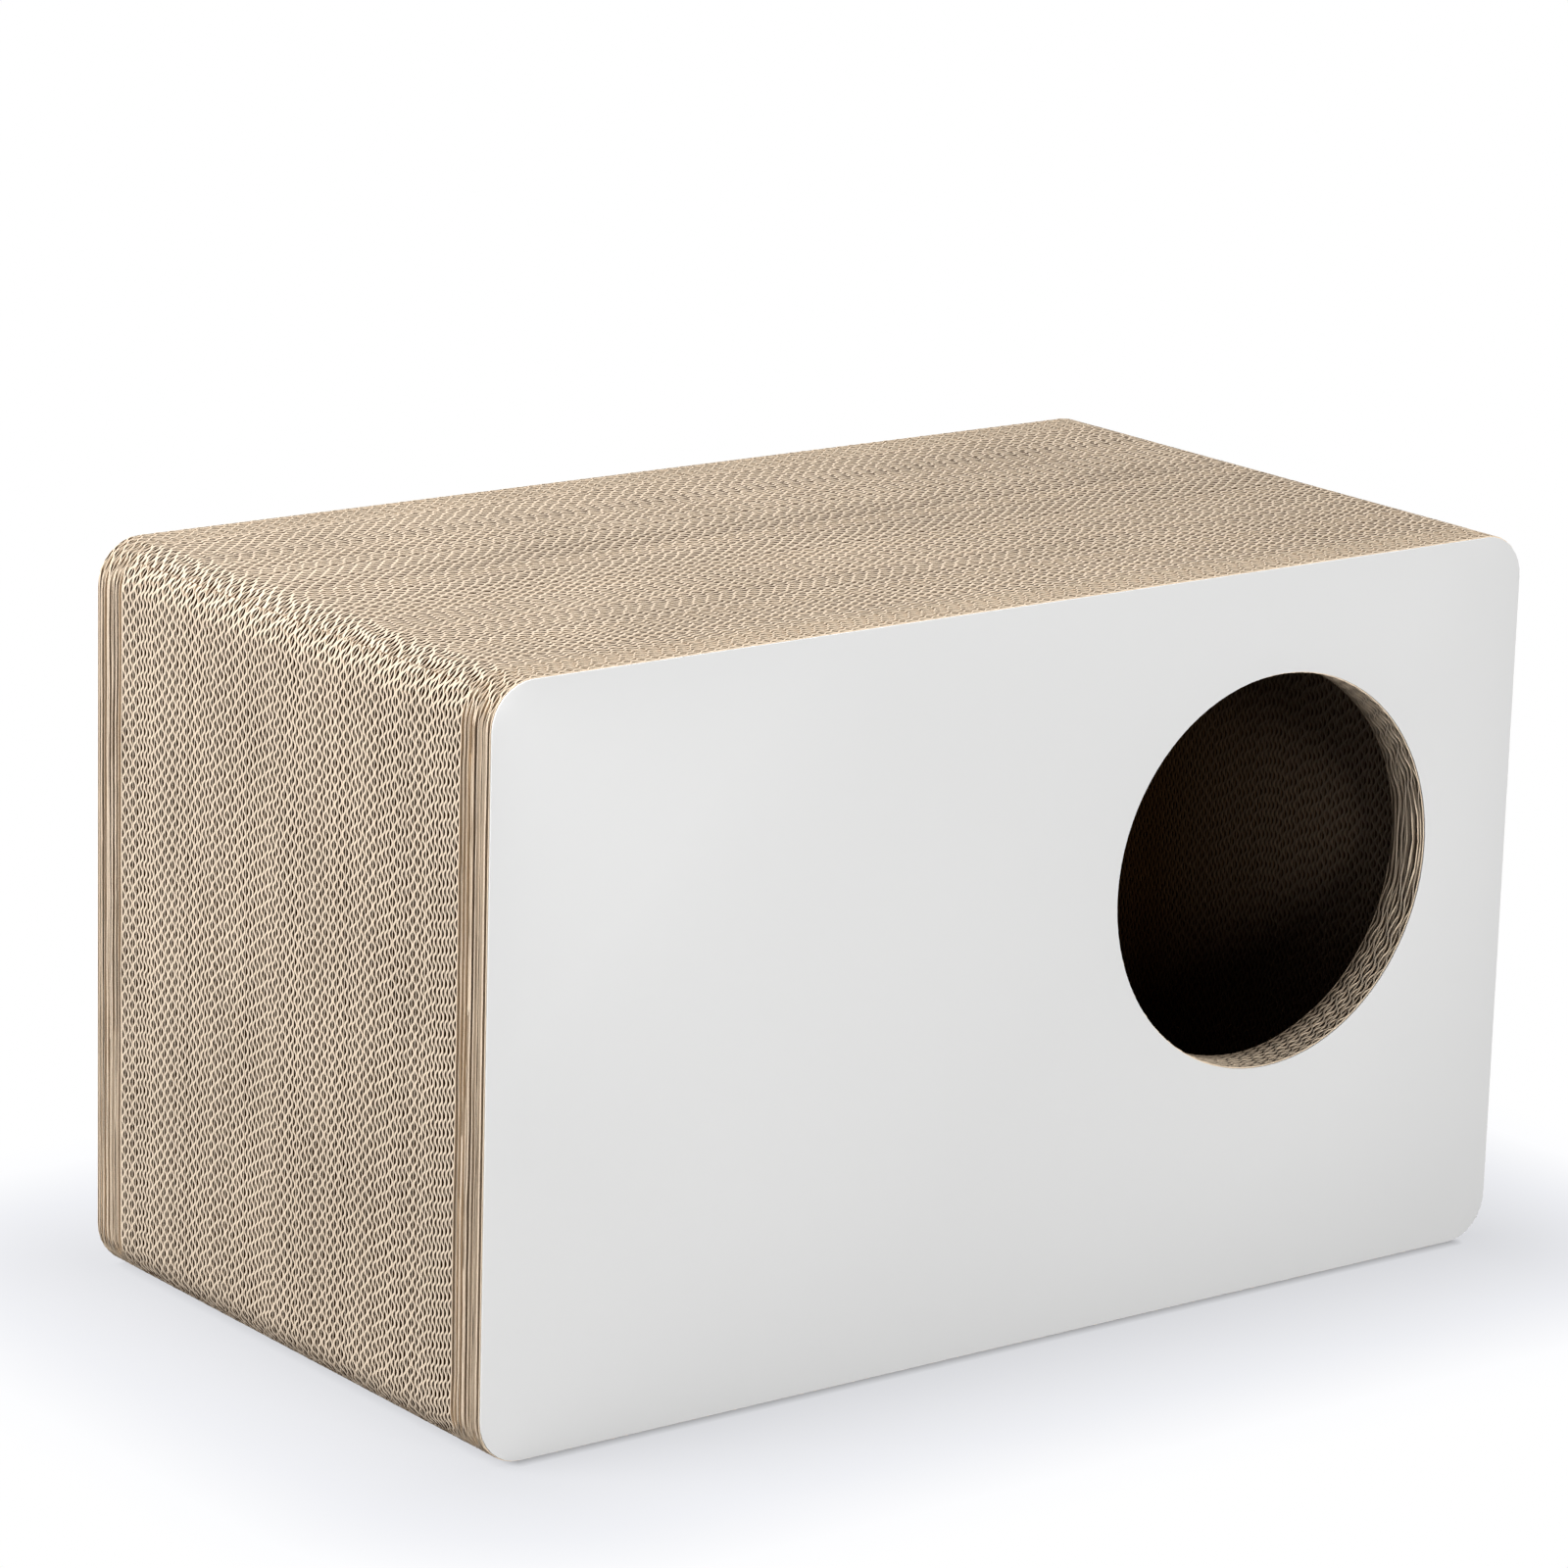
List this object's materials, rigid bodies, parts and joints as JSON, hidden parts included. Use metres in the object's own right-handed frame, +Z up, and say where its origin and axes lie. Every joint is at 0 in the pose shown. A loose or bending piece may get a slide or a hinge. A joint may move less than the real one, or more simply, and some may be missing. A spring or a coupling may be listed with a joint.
{
  "type": "cardboard cat house",
  "caption": "Low rectangular pet house of stacked corrugated boards with mitred walls, a white face card and a round door cut through its front.",
  "frame": {"origin": "on the floor, under the middle of the house", "axes": "+X to the right along the front, the front with the door faces -Y, +Z up"},
  "size_m": [0.57, 0.3066, 0.338],
  "materials": {
    "white_card": "smooth white laminated card, satin",
    "kraft_board": "brown kraft corrugated board, cut edges"
  },
  "bodies": {
    "root": {"front_face_card": "white_card", "front_board_1": "kraft_board", "front_board_2": "kraft_board", "front_board_3": "kraft_board", "front_board_4": "kraft_board", "front_board_5": "kraft_board", "front_board_6": "kraft_board", "front_board_7": "kraft_board", "left_wall_stack_1": "kraft_board", "left_wall_stack_2": "kraft_board", "left_wall_stack_3": "kraft_board", "left_wall_stack_4": "kraft_board", "left_wall_stack_5": "kraft_board", "left_wall_stack_6": "kraft_board", "left_wall_stack_7": "kraft_board", "left_wall_stack_8": "kraft_board", "left_wall_stack_9": "kraft_board", "left_wall_stack_10": "kraft_board", "left_wall_stack_11": "kraft_board", "right_wall_stack_1": "kraft_board", "right_wall_stack_2": "kraft_board", "right_wall_stack_3": "kraft_board", "right_wall_stack_4": "kraft_board", "right_wall_stack_5": "kraft_board", "right_wall_stack_6": "kraft_board", "right_wall_stack_7": "kraft_board", "right_wall_stack_8": "kraft_board", "right_wall_stack_9": "kraft_board", "right_wall_stack_10": "kraft_board", "right_wall_stack_11": "kraft_board", "roof_stack_1": "kraft_board", "roof_stack_2": "kraft_board", "roof_stack_3": "kraft_board", "roof_stack_4": "kraft_board", "roof_stack_5": "kraft_board", "roof_stack_6": "kraft_board", "roof_stack_7": "kraft_board", "roof_stack_8": "kraft_board", "roof_stack_9": "kraft_board", "roof_stack_10": "kraft_board", "roof_stack_11": "kraft_board", "floor_stack_1": "kraft_board", "floor_stack_2": "kraft_board", "floor_stack_3": "kraft_board", "floor_stack_4": "kraft_board", "floor_stack_5": "kraft_board", "floor_stack_6": "kraft_board", "floor_stack_7": "kraft_board", "floor_stack_8": "kraft_board", "floor_stack_9": "kraft_board", "floor_stack_10": "kraft_board", "floor_stack_11": "kraft_board", "rear_board_1": "kraft_board", "rear_board_2": "kraft_board", "rear_board_3": "kraft_board", "rear_board_4": "kraft_board", "rear_board_5": "kraft_board", "rear_board_6": "kraft_board", "rear_board_7": "kraft_board"}
  },
  "joints": []
}
